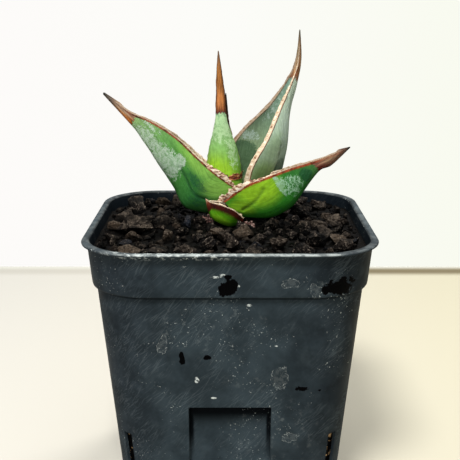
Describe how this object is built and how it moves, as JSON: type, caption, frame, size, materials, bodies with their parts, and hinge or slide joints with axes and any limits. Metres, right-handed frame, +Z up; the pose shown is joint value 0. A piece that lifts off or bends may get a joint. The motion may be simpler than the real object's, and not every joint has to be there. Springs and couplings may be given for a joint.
{
  "type": "potted snake plant",
  "caption": "Small succulent snake plant with folded, spine-tipped green leaves in a square, tapered black nursery pot with a collar, corner drainage slots and loose potting mix.",
  "frame": {"origin": "middle of the pot's underside, on the surface that it stands on", "axes": "+Z up; +X to the right and -Y to the front, the side where the scale leaf sits"},
  "size_m": [0.085, 0.085, 0.1363],
  "materials": {
    "pot_plastic": "moulded charcoal-black plastic, satin, scuffed, with pale mineral stains",
    "potting_mix": "damp, dark mix of fine bark, peat and grit",
    "chip": "rough, dark brown bark and lava chips",
    "leaf": "waxy succulent skin, grey-green to bright green, with red-brown edged papery margins and brown spines",
    "dry_sheath": "dry, torn and papery, matt",
    "stem": "matt, fibrous, hidden in the mix",
    "root": "matt cream-brown, hidden in the mix"
  },
  "bodies": {
    "root": {"nursery_pot": "pot_plastic", "potting_mix": "potting_mix", "stem": "stem", "root_01": "root", "root_02": "root", "root_03": "root", "root_04": "root", "root_05": "root", "root_06": "root", "root_07": "root", "root_08": "root", "leaf_inner": "leaf", "leaf_centre": "leaf", "leaf_back_right": "leaf", "leaf_left": "leaf", "leaf_right": "leaf", "scale_leaf": "leaf", "dry_sheath_right": "dry_sheath", "dry_sheath_left": "dry_sheath", "chip_01": "chip", "chip_02": "chip", "chip_03": "chip", "chip_04": "chip", "chip_05": "chip", "chip_06": "chip", "chip_07": "chip", "chip_08": "chip", "chip_09": "chip", "chip_10": "chip", "chip_11": "chip", "chip_12": "chip", "chip_13": "chip", "chip_14": "chip", "chip_15": "chip", "chip_16": "chip", "chip_17": "chip", "chip_18": "chip", "chip_19": "chip", "chip_20": "chip", "chip_21": "chip", "chip_22": "chip", "chip_23": "chip", "chip_24": "chip"}
  },
  "joints": []
}
